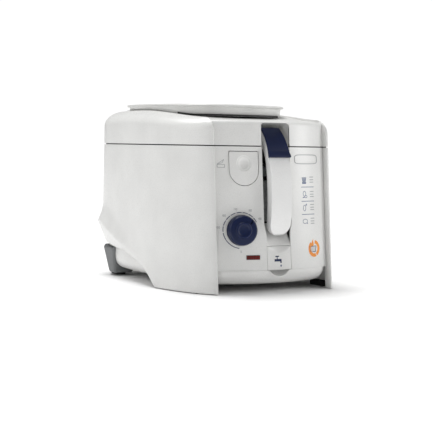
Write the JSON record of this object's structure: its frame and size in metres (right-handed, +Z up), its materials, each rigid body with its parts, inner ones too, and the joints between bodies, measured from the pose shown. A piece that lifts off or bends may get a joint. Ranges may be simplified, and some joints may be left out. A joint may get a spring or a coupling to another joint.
{
  "type": "deep fryer",
  "caption": "Household deep fryer with a hinged lid, a tilted turning basket lifted by a folding front handle, a temperature knob and a drain door.",
  "frame": {"origin": "centre of the object's footprint on the floor, under the middle of its length and width", "axes": "+Z up, -Y towards the user (fascia and handle), +X to the right as seen from the front with the user facing +Y"},
  "size_m": [0.2906, 0.3978, 0.2705],
  "materials": {
    "white_plastic": "satin white moulded ABS",
    "navy_plastic": "dark blue satin ABS",
    "grey_plastic": "spark-eroded grey polypropylene",
    "steel": "bright stainless steel",
    "bowl_coating": "pressed aluminium with a dark non-stick coating",
    "rubber": "matte moulded rubber and silicone",
    "black_plastic": "glass-filled nylon",
    "red_lens": "dark red translucent polycarbonate",
    "filter_foam": "black carbon filter foam"
  },
  "bodies": {
    "base": {"base_shell": "white_plastic", "side_panel_left": "white_plastic", "side_panel_right": "white_plastic", "rear_panel": "white_plastic", "front_fascia_left": "white_plastic", "front_fascia_right": "white_plastic", "top_deck": "white_plastic", "channel_liner": "grey_plastic", "finger_scoop": "white_plastic", "hinge_bracket": "white_plastic", "hinge_pin": "steel", "latch_pin": "steel", "thermostat_body": "black_plastic", "indicator_lens": "red_lens", "handle_bracket": "black_plastic", "handle_pin": "steel", "pinion_pin": "steel", "guide_rod_left": "steel", "guide_rod_right": "steel", "oil_bowl": "bowl_coating", "gear_motor": "steel", "shaft_seal": "rubber", "heating_element": "steel", "drain_hose": "rubber", "rear_leg_left": "grey_plastic", "rear_leg_right": "grey_plastic", "foot_pad_front_left": "rubber", "foot_pad_front_right": "rubber", "foot_pad_rear_left": "rubber", "foot_pad_rear_right": "rubber", "cord_gland": "black_plastic", "terminal_block": "black_plastic", "lid_safety_switch": "black_plastic"},
    "lid": {"lid_shell": "white_plastic", "lid_liner": "steel", "lid_seal": "rubber", "hinge_arm": "white_plastic", "lid_latch_tongue": "white_plastic"},
    "cover": {"filter_cover": "white_plastic", "odour_filter": "filter_foam"},
    "release_button": {"lid_release_button": "white_plastic"},
    "latch": {"latch_lever": "black_plastic"},
    "handle": {"handle_grip": "white_plastic", "lift_sector": "black_plastic"},
    "slider": {"handle_slider": "navy_plastic"},
    "pinion": {"lift_pinion": "black_plastic"},
    "carriage": {"lift_carriage": "black_plastic", "lift_arm": "steel", "carrier_ring": "steel"},
    "basket": {"basket": "steel", "basket_socket": "black_plastic"},
    "roller_1": {"carrier_roller_1": "black_plastic"},
    "roller_2": {"carrier_roller_2": "black_plastic"},
    "roller_3": {"carrier_roller_3": "black_plastic"},
    "drive": {"drive_shaft": "steel", "drive_dog": "black_plastic"},
    "knob": {"temperature_knob": "navy_plastic", "thermostat_shaft": "steel"},
    "drain_door": {"drain_door": "white_plastic"},
    "drain_cap": {"drain_cap": "navy_plastic"}
  },
  "joints": [
    {"name": "lid_hinge", "type": "hinge", "parent": "base", "child": "lid", "pos_m": [0, 0.1953, 0.2098], "axis": [-1, 0, 0], "range_deg": [0, 75]},
    {"name": "cover_lift", "type": "slide", "parent": "lid", "child": "cover", "axis": [0, 0, 1], "range_m": [0, 0.05]},
    {"name": "button_press", "type": "slide", "parent": "base", "child": "release_button", "axis": [0, 1, 0], "range_m": [0, 0.0035], "stiffness_N_per_m": 600},
    {"name": "latch_turn", "type": "hinge", "parent": "base", "child": "latch", "pos_m": [-0.0512, -0.16332, 0.16], "axis": [-1, 0, 0], "range_deg": [0, 13.5]},
    {"name": "handle_fold", "type": "hinge", "parent": "base", "child": "handle", "pos_m": [0, -0.1592, 0.215], "axis": [-1, 0, 0], "range_deg": [0, 90]},
    {"name": "slider_slide", "type": "hinge", "parent": "handle", "child": "slider", "pos_m": [0, -0.1154, 0.175], "axis": [-1, 0, 0], "range_deg": [0, 4.5], "stiffness_Nm_per_rad": 8},
    {"name": "pinion_turn", "type": "hinge", "parent": "base", "child": "pinion", "pos_m": [0, -0.13782, 0.19362], "axis": [-1, 0, 0], "range_deg": [-252.1, 0]},
    {"name": "basket_lift", "type": "slide", "parent": "base", "child": "carriage", "axis": [0, 0.2079, 0.9781], "range_m": [0, 0.0351]},
    {"name": "drive_turn", "type": "hinge", "parent": "base", "child": "drive", "pos_m": [0, -0.0092, 0.082], "axis": [0, 0.2079, 0.9781], "continuous": true},
    {"name": "basket_turn", "type": "hinge", "parent": "carriage", "child": "basket", "pos_m": [0, -0.0092, 0.082], "axis": [0, 0.2079, 0.9781], "continuous": true},
    {"name": "roller_1_turn", "type": "hinge", "parent": "carriage", "child": "roller_1", "pos_m": [0, 0.09388, 0.11581], "axis": [0, 0.9781, -0.2079], "continuous": true},
    {"name": "roller_2_turn", "type": "hinge", "parent": "carriage", "child": "roller_2", "pos_m": [-0.08123, -0.04374, 0.14506], "axis": [-0.866, -0.4891, 0.104], "continuous": true},
    {"name": "roller_3_turn", "type": "hinge", "parent": "carriage", "child": "roller_3", "pos_m": [0.08123, -0.04374, 0.14506], "axis": [0.866, -0.4891, 0.104], "continuous": true},
    {"name": "knob_turn", "type": "hinge", "parent": "base", "child": "knob", "pos_m": [-0.058, -0.18158, 0.09], "axis": [-0.2463, -0.9652, 0.0881], "range_deg": [-24, 216]},
    {"name": "drain_door_hinge", "type": "hinge", "parent": "base", "child": "drain_door", "pos_m": [0, -0.18948, 0.0654], "axis": [-1, 0, 0], "range_deg": [0, 80]},
    {"name": "drain_cap_pull", "type": "slide", "parent": "base", "child": "drain_cap", "axis": [0, -1, 0], "range_m": [0, 0.0085]}
  ],
  "couplings": [
    {"joint": "latch_turn", "follows": "button_press", "rad_per_m": 66.667},
    {"joint": "pinion_turn", "follows": "handle_fold", "ratio": -2.8},
    {"joint": "basket_lift", "follows": "handle_fold", "m_per_rad": 0.022282},
    {"joint": "drive_turn", "follows": "basket_turn", "ratio": 1},
    {"joint": "roller_1_turn", "follows": "basket_turn", "ratio": -23.45},
    {"joint": "roller_2_turn", "follows": "basket_turn", "ratio": -23.45},
    {"joint": "roller_3_turn", "follows": "basket_turn", "ratio": -23.45}
  ]
}
